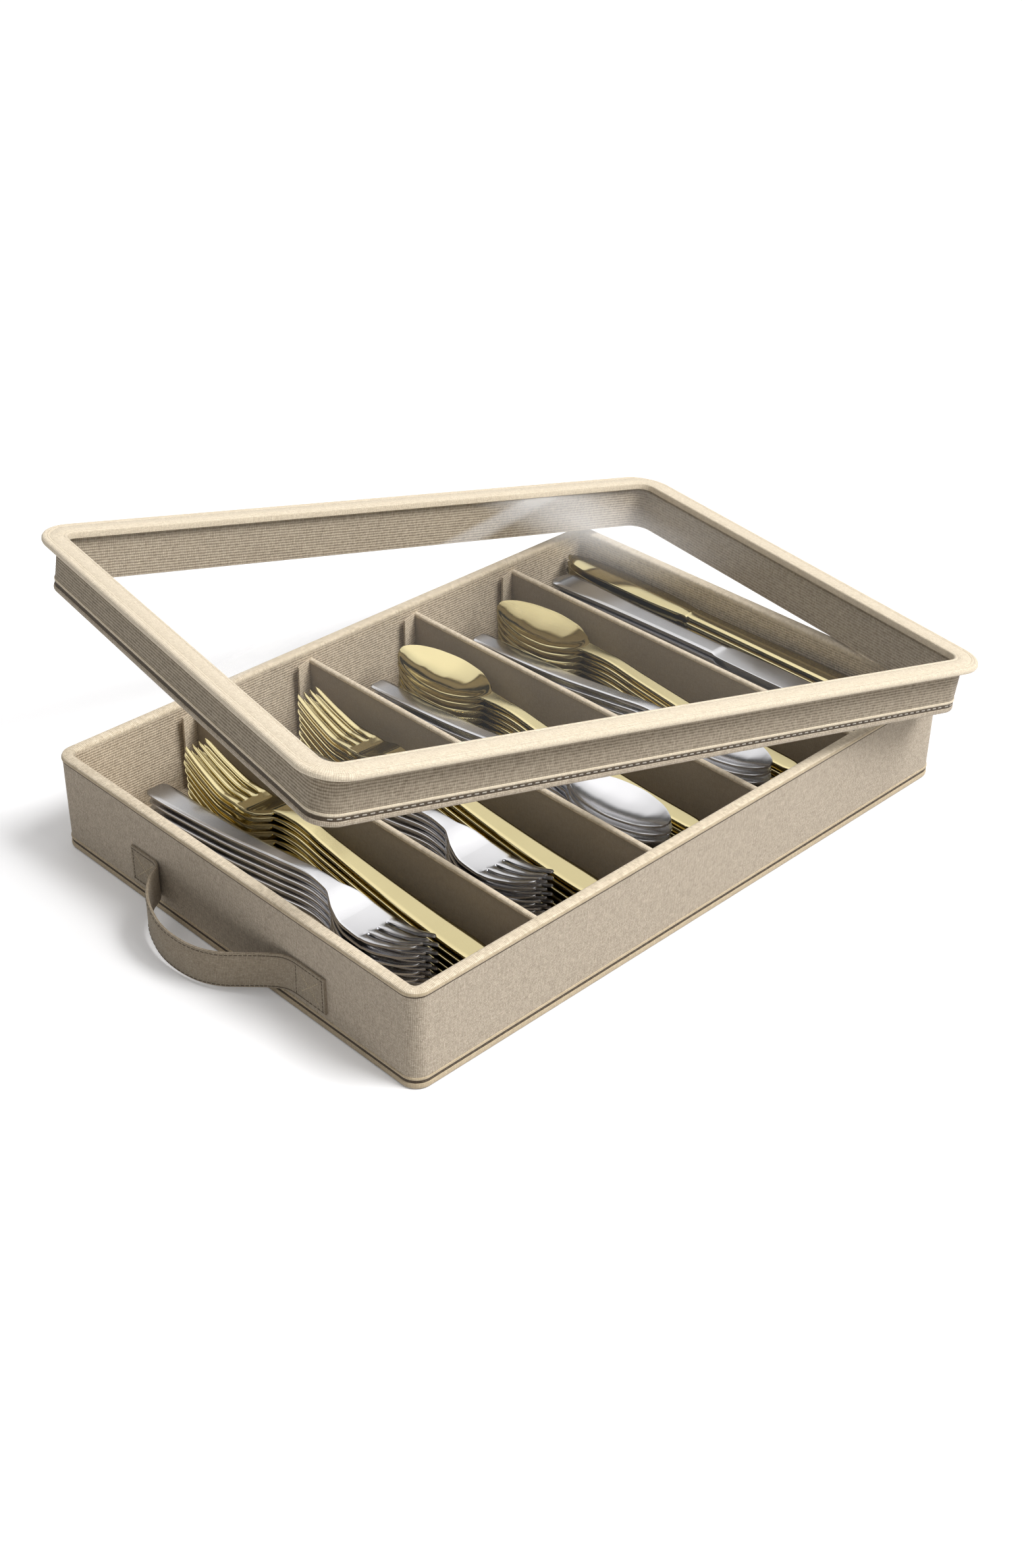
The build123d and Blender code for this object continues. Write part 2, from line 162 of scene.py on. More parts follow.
def woven(name, light, dark, pitch=0.85, weave="plain", height=0.14, reflection_painted_shade=0.3):
    """Cloth of separate threads that wander a little; its UVs run in millimetres.

    The weave is plain, ribbed (fine cords along a wall) or ridged (cords across the rim). The last argument
    is painted shade: how far the cloth is darkened in the reflections that polished metal shows of it.
    """
    s = Shader(name)
    straight = s.add("UVMap").outputs["UV"]
    drift = s.add("TexNoise", {"Vector": straight, "Scale": 0.3, "Detail": 2.0}).outputs["Color"]
    reach = (THREAD_DRIFT, THREAD_DRIFT, 0.0)
    uv = s.add("VectorMath", {0: drift, 1: reach, 2: straight}, operation="MULTIPLY_ADD").outputs[0]
    parts = s.add("SeparateXYZ", {0: uv})
    u, v = parts.outputs[0], parts.outputs[1]
    along, across = (pitch, pitch) if weave == "plain" else (BEAD_PITCH, RIB_PITCH)
    cells = s.stretch(uv, (1 / along, 1 / across, 1))
    cell = s.add("VectorMath", {0: cells}, operation="FLOOR").outputs[0]
    thread = s.add("TexWhiteNoise", {"Vector": cell}, noise_dimensions="2D").outputs["Value"]
    slubs = s.maths("ADD", s.noise(s.stretch(uv, (0.2, 2.2, 1)), 1.0, 3.0, 0.6),
                    s.noise(s.stretch(uv, (2.2, 0.2, 1)), 1.0, 3.0, 0.6))
    if weave == "ridged":
        breaks = s.ramp(s.wave(v, RIDGE_PITCH), 0.0, 1.0, 0.5, 0.85)
        knots = s.maths("MULTIPLY", s.maths("POWER", s.wave(u, RIDGE_PITCH), 0.7), breaks)
    elif weave == "ribbed":
        breaks = s.ramp(s.wave(u, BEAD_PITCH), 0.0, 1.0, 0.62, 1.0)
        knots = s.maths("MULTIPLY", s.ramp(s.wave(v, RIB_PITCH, math.pi / 2), 0.0, 1.0, 0.35, 1.0), breaks)
    else:
        over = s.maths("SIGN", s.maths("MULTIPLY", s.sine(u, pitch), s.sine(v, pitch)))
        across_u = s.maths("MULTIPLY", s.wave(u, pitch), s.ramp(s.wave(v, pitch), 0.0, 1.0, 0.55, 1.0))
        across_v = s.maths("MULTIPLY", s.wave(v, pitch), s.ramp(s.wave(u, pitch), 0.0, 1.0, 0.55, 1.0))
        knots = s.add("Mix", {0: s.maths("GREATER_THAN", over, 0.0), 2: across_v, 3: across_u}).outputs[0]
        knots = s.maths("POWER", knots, 0.7)
    tone = s.maths("ADD", s.maths("MULTIPLY", knots, 0.6), s.maths("MULTIPLY", thread, 0.2))
    tone = s.maths("ADD", tone, s.maths("MULTIPLY", s.maths("SUBTRACT", slubs, 0.92), 0.55))
    colour = s.mix(s.ramp(tone, 0.08, 0.92), dark, light)
    # Painted shade: the cloth goes darker only in the reflections that polished metal shows of it.
    reflected = s.maths("MULTIPLY", s.add("LightPath").outputs["Is Glossy Ray"], reflection_painted_shade)
    colour = s.mix(reflected, colour, (0.0, 0.0, 0.0, 1))
    relief = s.maths("ADD", knots, s.maths("MULTIPLY", slubs, 0.5))
    bump = s.add("Bump", {"Height": relief, "Strength": 0.8, "Distance": height * MM})
    shader = s.add("BsdfPrincipled", {
        "Base Color": colour, "Roughness": 0.92, "Specular IOR Level": 0.15, "Sheen Weight": 0.15,
        "Sheen Roughness": 0.6, "Normal": bump.outputs[0]})
    return s.surface(shader.outputs[0])


def metal(name, tint, shade, roughness):
    """Polished metal with faint smears that change its tint and its roughness."""
    s = Shader(name)
    smears = s.noise(s.add("TexCoord").outputs["Object"], 35.0, 3.0)
    rough = s.ramp(smears, 0.3, 0.7, roughness * 0.85, roughness * 1.2)
    colour = s.mix(s.ramp(smears, 0.25, 0.75), shade, tint)
    shader = s.add("BsdfPrincipled", {"Base Color": colour, "Metallic": 1.0, "Roughness": rough})
    return s.surface(shader.outputs[0])


def clear_sheet(name):
    """Clear plastic with painted reflections: a slanting band of painted sheen near its back edge, a soft
    painted wash of reflected light over its right half and a faint painted highlight toward its right end.
    """
    s = Shader(name)
    uv = s.add("UVMap").outputs["UV"]
    parts = s.add("SeparateXYZ", {0: uv})
    x, y = parts.outputs[0], parts.outputs[1]
    # Masks where painted reflection lies: a slanting band, a wash over the right half and a faint patch
    # toward the right end.
    slant = s.maths("SUBTRACT", y, s.maths("MULTIPLY", x, 0.56))
    painted_streak = s.maths("MULTIPLY", s.ramp(slant, 64.0, 70.0), s.ramp(slant, 79.0, 84.0, 1.0, 0.0))
    painted_haze = s.maths("MULTIPLY", s.ramp(x, 60.0, 122.0, kind="SMOOTHSTEP"),
                   s.ramp(x, 122.0, 178.0, 1.0, 0.0, kind="SMOOTHSTEP"))
    painted_haze = s.maths("MULTIPLY", painted_haze, s.ramp(y, -20.0, 120.0, kind="SMOOTHSTEP"))
    edge = s.maths("MULTIPLY", s.ramp(x, 150.0, 168.0), s.ramp(y, 0.0, 60.0))
    painted_veil = s.maths("ADD", s.maths("MULTIPLY", painted_streak, 0.13), s.maths("MULTIPLY", painted_haze, 0.30))
    painted_veil = s.maths("ADD", painted_veil, s.maths("MULTIPLY", edge, 0.03))
    smears = s.ramp(s.noise(s.stretch(uv, (0.02, 0.02, 1)), 1.0, 2.0), 0.35, 0.7, 0.8, 1.1)
    amount = s.maths("ADD", s.maths("MULTIPLY", painted_veil, smears), 0.012)
    # The whitish shader that these masks mix in paints the reflections.
    clear = s.add("BsdfTransparent", {"Color": (0.99, 0.99, 0.99, 1)})
    painted_sheen_shader = s.add("BsdfPrincipled", {
        "Base Color": s.mix(smears, (0.8, 0.8, 0.8, 1), (0.9, 0.9, 0.9, 1)), "Roughness": 0.2,
        "Specular IOR Level": 0.5})
    both = s.add("MixShader", {0: amount, 1: clear.outputs[0], 2: painted_sheen_shader.outputs[0]})
    return s.surface(both.outputs[0])


TWEED = woven("cover_tweed", rgb(206, 192, 173), rgb(116, 103, 84))
TRIM = woven("rim_trim", rgb(252, 238, 214), rgb(168, 151, 125), weave="ridged", height=0.2)
FRAME = woven("frame_trim", rgb(240, 227, 204), rgb(182, 166, 142), pitch=0.7, height=0.12)
PIPING = woven("piping_cloth", rgb(206, 189, 160), rgb(150, 133, 108), pitch=0.7, height=0.06)
RIBBED = woven("ribbed_wall", rgb(182, 169, 149), rgb(94, 82, 66), weave="ribbed", height=0.2)
LINING = woven(
    "lining_tweed", rgb(226, 210, 185), rgb(118, 102, 81), weave="ribbed", height=0.2, reflection_painted_shade=0.55)
LID_LINING = woven("lid_lining_tweed", rgb(200, 186, 164), rgb(112, 99, 81), weave="ribbed", height=0.18)
# The dividers' cloth is darker than the lining that their flaps wear: painted shade on the dividers' faces.
SHADED_DIVIDER_CLOTH = woven("divider_cloth_painted_shade", rgb(160, 147, 129), rgb(128, 115, 98), pitch=0.7, height=0.06, reflection_painted_shade=0.6)
WEBBING = woven("webbing", rgb(176, 162, 141), rgb(102, 90, 74), pitch=0.8, height=0.16)
# Dark cloth that paints shade: in the grooves between beads, in the line under the rim's piping and under
# the tray.
PAINTED_SHADE_CLOTH = woven("painted_shade_cloth", rgb(92, 79, 63), rgb(52, 43, 33))
PALE_THREAD = woven("pale_thread", rgb(206, 198, 186), rgb(150, 142, 130), pitch=0.5)
DARK_THREAD = woven("dark_thread", rgb(104, 91, 74), rgb(66, 56, 44), pitch=0.5)
SILVER = metal("silver_metal", (0.82, 0.82, 0.84, 1), (0.78, 0.78, 0.80, 1), 0.2)
GOLD = metal("gold_metal", (0.77, 0.67, 0.38, 1), (0.73, 0.63, 0.35, 1), 0.1)
CLEAR = clear_sheet("window_sheet")


# ------------------------------------------------------------------ making meshes
def make(name, points, faces, uvs, material, body, pose=None, replaces=(), smooth=True, crease=50):
    """A mesh from points in millimetres, riding on a body and standing for CAD nodes."""
    mesh = bpy.data.meshes.new(name)
    pose = pose or Matrix.Identity(4)
    mesh.from_pydata([pose @ Vector(p) * MM for p in points], [], faces)
    layer = mesh.uv_layers.new(name="UVMap")
    flat = [uv for corner in uvs for uv in corner]
    layer.data.foreach_set("uv", [c for uv in flat for c in uv])
    mesh.materials.append(material)
    if smooth:
        mesh.shade_smooth()
        mesh.set_sharp_from_angle(angle=math.radians(crease))
    mesh.validate()
    piece = bpy.data.objects.new(name, mesh)
    bpy.context.scene.collection.objects.link(piece)
    if body:
        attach(piece, body)
    if replaces:
        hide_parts(*replaces)
    return piece


def grid(rows, uv_rows, wrap=False):
    """Quads over a grid of points given row by row, with their UVs."""
    points = [p for row in rows for p in row]
    width = len(rows[0])
    faces, uvs = [], []
    last = len(rows) if wrap else len(rows) - 1
    for i in range(last):
        j = (i + 1) % len(rows)
        for k in range(width - 1):
            faces.append((i * width + k, j * width + k, j * width + k + 1, i * width + k + 1))
            uvs.append((uv_rows[i][k], uv_rows[i + 1][k], uv_rows[i + 1][k + 1], uv_rows[i][k + 1]))
    return points, faces, uvs


def ring(length, width, radius, arc=12, step=20.0):
    """Points round a rounded rectangle, with their outward directions and the distance travelled."""
    half_x, half_y = length / 2 - radius, width / 2 - radius
    centres = ((half_x, -half_y, -90), (half_x, half_y, 0), (-half_x, half_y, 90), (-half_x, -half_y, 180))
    spots = []
    for index, (cx, cy, start) in enumerate(centres):
        for i in range(arc + 1):
            angle = math.radians(start + 90 * i / arc)
            spots.append((cx, cy, radius, math.cos(angle), math.sin(angle)))
        nx, ny, _ = centres[(index + 1) % 4]
        angle = math.radians(start + 90)
        run = math.hypot(nx - cx, ny - cy)
        count = int(run // step)
        for i in range(1, count):
            t = i / count
            spots.append((cx + (nx - cx) * t, cy + (ny - cy) * t, radius, math.cos(angle), math.sin(angle)))
    places = [(cx + r * nx, cy + r * ny, nx, ny) for cx, cy, r, nx, ny in spots]
    travelled = [0.0]
    for a, b in zip(places, places[1:] + places[:1]):
        travelled.append(travelled[-1] + math.hypot(b[0] - a[0], b[1] - a[1]))
    return places, travelled


def sweep(name, size, profile, material, body, pose=None, replaces=(), crease=50, upright=False):
    """A profile of (outward offset, height) points carried round a rounded rectangle."""
    places, travelled = ring(*size)
    lengths = [profile[0][1]]
    for a, b in zip(profile, profile[1:]):
        lengths.append(b[1] if upright else lengths[-1] + math.hypot(b[0] - a[0], b[1] - a[1]))
    rows = [[(x + o * nx, y + o * ny, z) for o, z in profile] for x, y, nx, ny in places]
    uv_rows = [[(s, t) for t in lengths] for s in travelled]
    points, faces, uvs = grid(rows, uv_rows, wrap=True)
    return make(name, points, faces, uvs, material, body, pose, replaces, crease=crease)


def panel(name, size, inset, height, up, material, body, pose=None, replaces=()):
    """A flat face that fills a rounded rectangle."""
    places, _ = ring(*size)
    points = [(x - inset * nx, y - inset * ny, height) for x, y, nx, ny in places]
    face = list(range(len(points)))
    if not up:
        face.reverse()
    uvs = [[(points[i][0], points[i][1]) for i in face]]
    return make(name, points, [face], uvs, material, body, pose, replaces, smooth=False)


def bulge(base, low, high, depth, steps=8):
    """A rounded bead's profile, from its lower edge to its upper one."""
    middle, half = (low + high) / 2, (high - low) / 2
    angles = [math.pi * (i / steps - 0.5) for i in range(steps + 1)]
    return [(base + depth * math.cos(a), middle + half * math.sin(a)) for a in angles]


def ripple(base, low, high, depth, steps=6):
    """A wall profile whose ribs run along it, each one steps points high."""
    total = round((high - low) / RIB_PITCH) * steps
    heights = [low + (high - low) * i / total for i in range(total + 1)]
    waves = [depth * (math.cos(2 * math.pi * i / steps) - 1) / 2 for i in range(total + 1)]
    return [(base + wave, z) for wave, z in zip(waves, heights)]


def dashes(name, spots, size, material, body, pose=None):
    """Short rounded stitches; each spot is (point, direction along, outward direction)."""
    length, height, thick = size
    points, faces, uvs = [], [], []
    steps = ((-0.5, 0.35), (-0.38, 1.0), (0.38, 1.0), (0.5, 0.35))
    for point, along, out in spots:
        point, along, out = Vector(point), Vector(along), Vector(out)
        side = out.cross(along).normalized()
        start = len(points)
        for t, full in steps:
            for a, b in ((-0.5, 0.0), (-0.3, 0.9), (0.3, 0.9), (0.5, 0.0)):
                spread = side * (a * height * full) + out * (b * thick * full)
                points.append(tuple(point + along * (t * length) + spread))
        for i in range(len(steps) - 1):
            for k in range(3):
                a = start + i * 4 + k
                faces.append((a, a + 1, a + 5, a + 4))
                uvs.append(((i, k), (i, k + 1), (i + 1, k + 1), (i + 1, k)))
    return make(name, points, faces, uvs, material, body, pose)


def ring_stitches(name, size, offset, height, pitch, dash, material, body, pose=None):
    """Stitches at an even pitch round the front, right and back of a rounded rectangle."""
    places, travelled = ring(*size)
    spots = []
    for i in range(int(travelled[-1] // pitch)):
        s = i * pitch
        k = max(j for j in range(len(places)) if travelled[j] <= s)
        t = (s - travelled[k]) / (travelled[k + 1] - travelled[k])
        a, b = places[k], places[(k + 1) % len(places)]
        x, y, nx, ny = (a[j] + (b[j] - a[j]) * t for j in range(4))
        if nx > -0.7:
            spots.append(((x + offset * nx, y + offset * ny, height), (-ny, nx, 0), (nx, ny, 0)))
    return dashes(name, spots, dash, material, body, pose)


# ------------------------------------------------------------------ tray
def tray():
    """The tray's outside and inside: cover, beads, groove, foot, rim, lining and floor."""
    boards = [f"tray_{side}_board" for side in ("front", "back", "left", "right")]
    cover = [(-0.1, 0.3), (0.0, 6.2), (0.05, 30.0), (0.0, RIM_LOW + 0.2)]
    sweep("tray_cover_wall", TRAY, cover, TWEED, "tray",
          replaces=["tray_outer_cover", *boards])
    foot_bead, upper_bead = bulge(0.0, 0.25, 3.4, 0.55), bulge(0.0, 5.1, 6.7, 0.5)
    groove = [(0.02, 2.8), (0.04, 4.2), (0.02, 5.6)]
    stitch, stitch_height = (3.0, 0.7, 0.3), 4.15
    sweep("tray_foot_bead", TRAY, foot_bead, PIPING, "tray", replaces=["tray_low_bead"])
    # The groove's dark cloth is painted shade between the foot bead and the upper bead.
    sweep("tray_groove", TRAY, groove, PAINTED_SHADE_CLOTH, "tray")
    sweep("tray_upper_bead", TRAY, upper_bead, PIPING, "tray", replaces=["tray_high_bead"])
    ring_stitches("tray_groove_stitches", TRAY, 0.0, stitch_height, STITCH_PITCH, stitch, DARK_THREAD,
                  "tray")
    # The underside's dark cloth is painted shade under the tray.
    foot_inset, foot_height = 0.6, 0.02
    panel("tray_foot", TRAY, foot_inset, foot_height, False, PAINTED_SHADE_CLOTH, "tray",
          replaces=["tray_foot_cover", "tray_floor_board"])
    # A thin dark band under the rim's piping: a painted shadow line.
    seam = [(0.06, RIM_LOW - 0.5), (0.08, RIM_LOW), (0.06, RIM_LOW + 0.6)]
    sweep("tray_rim_shadow_line", TRAY, seam, PAINTED_SHADE_CLOTH, "tray")
    side = [(0.0, 0.15), (0.42, 0.45), (0.56, 1.1), (0.52, 1.8), (0.3, 2.25)]
    sweep("tray_rim_piping", TRAY, [(out, RIM_LOW + z) for out, z in side], PIPING, "tray")
    rim = [(0.3, 2.25), (0.1, 2.65), (-0.6, 2.95), (-2.0, 3.05), (-3.6, 3.05), (-4.9, 2.9), (-5.6, 2.4),
           (-5.95, 1.6), (-5.95, 0.6), (-5.7, 0.0)]
    rim = [(out, RIM_LOW + z) for out, z in rim]
    sweep("tray_rim_binding", TRAY, rim, TRIM, "tray", replaces=["tray_rim"])
    wall = [(-TRAY_WALL, FLOOR_TOP)] + ripple(-TRAY_WALL, 8 * RIB_PITCH, 34 * RIB_PITCH, RIB_DEPTH)
    sweep("tray_inner_wall", TRAY, wall[::-1], LINING, "tray", replaces=["tray_lining"],
          upright=True)
    panel("tray_floor", TRAY, TRAY_WALL, FLOOR_TOP, True, LINING, "tray")


def strip(name, path, thick, material, body, replaces=()):
    """An upright band that follows a path of (x, y, low z, high z) points."""
    outline, travelled = [], [0.0]
    for i, (x, y, low, high) in enumerate(path):
        a, b = path[max(i - 1, 0)], path[min(i + 1, len(path) - 1)]
        run = math.hypot(b[0] - a[0], b[1] - a[1])
        nx, ny = (b[1] - a[1]) / run * thick / 2, -(b[0] - a[0]) / run * thick / 2
        soft = min(0.45 * thick, 0.9)
        loop = []
        for side in (1, -1):
            edges = ((0.0, low), (0.6, low + 0.12 * soft), (1.0, low + soft), (1.0, high - soft),
                     (0.6, high - 0.12 * soft))
            edges = edges if side > 0 else [(e, high + low - z) for e, z in edges]
            loop += [(x + side * e * nx, y + side * e * ny, z) for e, z in edges]
        outline.append(loop + loop[:1])
        if i:
            travelled.append(travelled[-1] + math.hypot(x - path[i - 1][0], y - path[i - 1][1]))
    around = [0.0]
    for a, b in zip(outline[0], outline[0][1:]):
        around.append(around[-1] + math.dist(a, b))
    points, faces, uvs = grid(outline, [[(s, t) for t in around] for s in travelled])
    ends = (list(range(10)), [len(points) - 11 + i for i in range(10)][::-1])
    for end in ends:
        faces.append(tuple(end))
        uvs.append([(points[i][0] + points[i][1], points[i][2]) for i in end])
    return make(name, points, faces, uvs, material, body, replaces=replaces)


def dividers():
    """Each divider's folded cloth, the trim over its top edge and the flap at its back end."""
    cloth_thick, edge_thick, flap_thick = 2.9, 3.2, 1.1
    edge_deep, tuck = 3.0, 1.6
    stations = [-BAY_HALF + 2 * BAY_HALF * i / 12 for i in range(13)]
    for number, x in enumerate(DIVIDERS, start=1):
        rise = [(x, y, FLOOR_TOP, DIVIDER_TOP - tuck) for y in stations]
        # The cloth's darker tone is painted shade; the flap keeps the lining's lighter tone.
        strip(f"divider_{number}_cloth", rise, cloth_thick, SHADED_DIVIDER_CLOTH, "tray",
              replaces=[f"divider_{number}_skin", f"divider_{number}_board"])
        top = [(x, y, DIVIDER_TOP - edge_deep, DIVIDER_TOP) for y in stations]
        strip(f"divider_{number}_top_edge", top, edge_thick, TRIM, "tray")
        left = x - 1.5
        bend = [(left + 0.4, BAY_HALF - 0.6), (left - 2.0, BAY_HALF - 1.0), (left - 5.5, BAY_HALF - 1.9),
                (left - 8.5, BAY_HALF - 2.9), (left - 10.6, BAY_HALF - 3.6)]
        flap = [(px, py, FLOOR_TOP + 0.1, DIVIDER_TOP - 0.3) for px, py in bend]
        strip(f"divider_{number}_flap_cloth", flap, flap_thick, LINING, "tray",
              replaces=[f"divider_{number}_flap"])


# ------------------------------------------------------------------ lid
def lid():
    """The lid in its own frame, then posed: picture-frame top, walls, beads, groove and window."""
    boards = [f"lid_{side}_board" for side in ("front", "back", "left", "right")]
    under, hem, out = -FLANGE_DEEP, -LID_DEPTH, FLANGE_OUT
    frame_top = [
        (-LIP_IN, under + 0.2), (-LIP_IN, -0.9), (-LIP_IN + 0.25, -0.3), (-LIP_IN + 0.9, 0.0),
        (-LIP_IN + 1.6, 0.0), (-LIP_IN + 1.9, -0.28), (-LIP_IN + 2.2, -0.05), (-1.0, 0.0), (out - 4.4, 0.0),
        (out - 4.1, -0.2), (out - 3.8, 0.0), (out - 3.0, 0.0), (out - 2.7, -0.2), (out - 2.4, -0.02),
        (out - 1.3, -0.1), (out - 0.45, -0.55), (out, -1.4), (out, -2.5), (out - 0.45, -3.4),
        (out - 1.3, -3.9), (out - 2.2, under), (0.0, under)]
    sweep("lid_frame", LID, frame_top, FRAME, "lid", LID_POSE,
          ["lid_frame_cover", "lid_frame_board"])
    ribs = ripple(0.05, -15 * RIB_PITCH, -3 * RIB_PITCH, RIB_DEPTH)[::-1]
    outer = [(0.0, -3.9)] + ribs + [(0.0, hem + 0.3)]
    sweep("lid_wall_cover", LID, outer[::-1], RIBBED, "lid", LID_POSE,
          ["lid_outer_cover", *boards], upright=True)
    ribs = ripple(-LID_WALL + 0.05, -18 * RIB_PITCH, -4 * RIB_PITCH, RIB_DEPTH)[::-1]
    inner = [(-LID_WALL, under - WINDOW_THICK)] + ribs
    inner += [(-LID_WALL, hem + 0.4), (-LID_WALL + 0.5, hem + 0.05), (-0.4, hem + 0.05), (0.0, hem + 0.4)]
    sweep("lid_inner_wall", LID, inner, LID_LINING, "lid", LID_POSE, ["lid_lining"],
          upright=True)
    low_bead, high_bead = bulge(0.0, hem + 0.05, hem + 2.8, 0.55), bulge(0.0, hem + 5.2, hem + 6.7, 0.5)
    groove = [(0.03, hem + 2.6), (0.05, hem + 4.0), (0.03, hem + 5.4)]
    stitch, stitch_height = (2.6, 0.7, 0.3), hem + 4.0
    sweep("lid_low_piping", LID, low_bead, TWEED, "lid", LID_POSE, ["lid_low_bead"])
    # The groove's dark cloth is painted shade between the lid's two beads.
    sweep("lid_groove", LID, groove, PAINTED_SHADE_CLOTH, "lid", LID_POSE)
    sweep("lid_high_piping", LID, high_bead, FRAME, "lid", LID_POSE, ["lid_high_bead"])
    ring_stitches("lid_groove_stitches", LID, 0.0, stitch_height, STITCH_PITCH, stitch, PALE_THREAD,
                  "lid", LID_POSE)
    low = under - WINDOW_THICK
    size = (LID[0] - 2 * LID_WALL, LID[1] - 2 * LID_WALL, LID[2] - LID_WALL)
    places, _ = ring(*size)
    count = len(places)
    points = [(x, y, under - 0.02) for x, y, _, _ in places] + [(x, y, low) for x, y, _, _ in places]
    faces = [list(range(count)), list(range(2 * count - 1, count - 1, -1))]
    faces += [(i, i + count, (i + 1) % count + count, (i + 1) % count) for i in range(count)]
    uvs = [[(points[i][0], points[i][1]) for i in face] for face in faces]
    make("lid_window_sheet", points, faces, uvs, CLEAR, "lid", LID_POSE, ["lid_window"],
         smooth=False)


# ------------------------------------------------------------------ strap handles
def through(points, per=8):
    """A smooth path through points, by Catmull-Rom."""
    ends = [points[0]] + list(points) + [points[-1]]
    path = []
    for i in range(1, len(ends) - 2):
        a, b, c, d = (np.array(p, float) for p in ends[i - 1:i + 3])
        for k in range(per):
            t = k / per
            path.append(tuple(0.5 * (2 * b + (c - a) * t + (2 * a - 5 * b + 4 * c - d) * t * t
                                     + (3 * b - a - 3 * c + d) * t ** 3)))
    return path + [tuple(points[-1])]


def strap(side, turn):
    """One strap: its two sewn ends lie on the wall and the loop hangs out from it."""
    spine = [(-200.85, 75, 21), (-200.85, 64, 21), (-201.0, 55, 21), (-203.6, 50.5, 20.8),
             (-211, 46.5, 19.4), (-219, 37, 16.4), (-224.2, 22, 13.6), (-225, 8, 12.4), (-223, -6, 12.3),
             (-218.4, -18, 13.2), (-212, -29, 15.4), (-206, -40, 18.2), (-202.4, -49, 20.4),
             (-201.0, -56, 21), (-200.85, -66, 21), (-200.85, -79, 21)]
    thick, stitch, edge_inset, proud = 1.7, (2.1, 0.6, 0.22), 1.3, 0.82
    middle = [(turn * x, turn * y, z) for x, y, z in through(spine, 5)]
    path = [(x, y, z - STRAP_HALF, z + STRAP_HALF) for x, y, z in middle]
    webbing = strip(f"{side}_strap_webbing", path, thick, WEBBING, None)
    running = []
    for i in range(1, len(middle) - 1):
        a, b, c = (Vector(p) for p in middle[i - 1:i + 2])
        along = (c - a).normalized()
        out = along.cross(Vector((0, 0, 1))).normalized()
        out = out if out.x * turn < 0 else -out
        for edge in (-STRAP_HALF + edge_inset, STRAP_HALF - edge_inset):
            running.append((b + out * proud + Vector((0, 0, edge)), along, out))
    stitches = dashes(f"{side}_strap_running_stitches", running, stitch, DARK_THREAD, None)
    for piece in (webbing, stitches):
        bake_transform(piece)
    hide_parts(f"{side}_strap_loop", f"{side}_strap_front_tab", f"{side}_strap_back_tab")
    low, high, inset, wall_face = 11.8, 30.2, 2.6, -201.68
    seams, crosses = [], []
    for a, b in ((53.5, 73.5), (-77.5, -58.0)):
        seams += [((a, low), (a, high)), ((b, low), (b, high))]
        a, b, bottom, top = a + inset, b - inset, low + inset, high - inset
        crosses += [((a, bottom), (b, top)), ((a, top), (b, bottom))]
    for name, lines, material in (("seam", seams, DARK_THREAD), ("cross", crosses, PIPING)):
        spots = []
        for (y0, z0), (y1, z1) in lines:
            run = math.hypot(y1 - y0, z1 - z0)
            for i in range(int(run // STRAP_STITCH_PITCH)):
                t = (i + 0.5) * STRAP_STITCH_PITCH / run
                point = (turn * wall_face, turn * (y0 + (y1 - y0) * t), z0 + (z1 - z0) * t)
                spots.append((point, (0, turn * (y1 - y0) / run, (z1 - z0) / run), (-turn, 0, 0)))
        dashes(f"{side}_strap_{name}_stitches", spots, (1.8, 0.5, 0.2), material, "tray")


# ------------------------------------------------------------------ flatware
def curve(keys, at):
    """A smooth curve through (place, value) keys that doesn't overshoot them."""
    x = np.array([k[0] for k in keys], float)
    y = np.array([k[1] for k in keys], float)
    step, rise = np.diff(x), np.diff(y) / np.diff(x)
    slope = np.zeros_like(y)
    for i in range(1, len(x) - 1):
        if rise[i - 1] * rise[i] > 0:
            slope[i] = 2 * rise[i - 1] * rise[i] / (rise[i - 1] + rise[i])
    slope[0], slope[-1] = rise[0], rise[-1]
    i = np.clip(np.searchsorted(x, at) - 1, 0, len(x) - 2)
    t = (at - x[i]) / step[i]
    return (y[i] * (1 + 2 * t) * (1 - t) ** 2 + slope[i] * step[i] * t * (1 - t) ** 2
            + y[i + 1] * t * t * (3 - 2 * t) - slope[i + 1] * step[i] * t * t * (1 - t))


def tine_columns(spec, s, half):
    """Where the tines lie across the head: (share of the width, tine, x down the piece) per column."""
    tines, length, per = spec["tines"], spec["length"], 4
    past = np.clip((s - tines["root"]) * length, 0, None)
    r = tines["slot"] / 2
    gap = np.where(past < r, np.sqrt(np.clip(r * r - (r - np.minimum(past, r)) ** 2, 0, None)), r)
    gap = gap + np.clip(past - r, 0, None) * tines["spread"]
    near_tip = np.clip((s - tines["tip"]) / (1 - tines["tip"]), 0, 1)
    narrow = np.where(s > tines["root"], np.sqrt(np.clip(1 - near_tip ** 2, 0.02, 1)), 1.0)
    columns = []
    for tine in range(TINES):
        centre = (-1 + 2 * (tine + 0.5) / TINES) * half
        for k in range(per + 1):
            outside = (tine == 0 and k < per / 2) or (tine == TINES - 1 and k > per / 2)
            wide = half / TINES - (np.clip(gap - r * 0.7, 0, None) if outside else gap)
            share = -1 + 2 * (tine + k / per) / TINES
            columns.append((share, tine, centre + (2 * k / per - 1) * wide * narrow))
    return columns


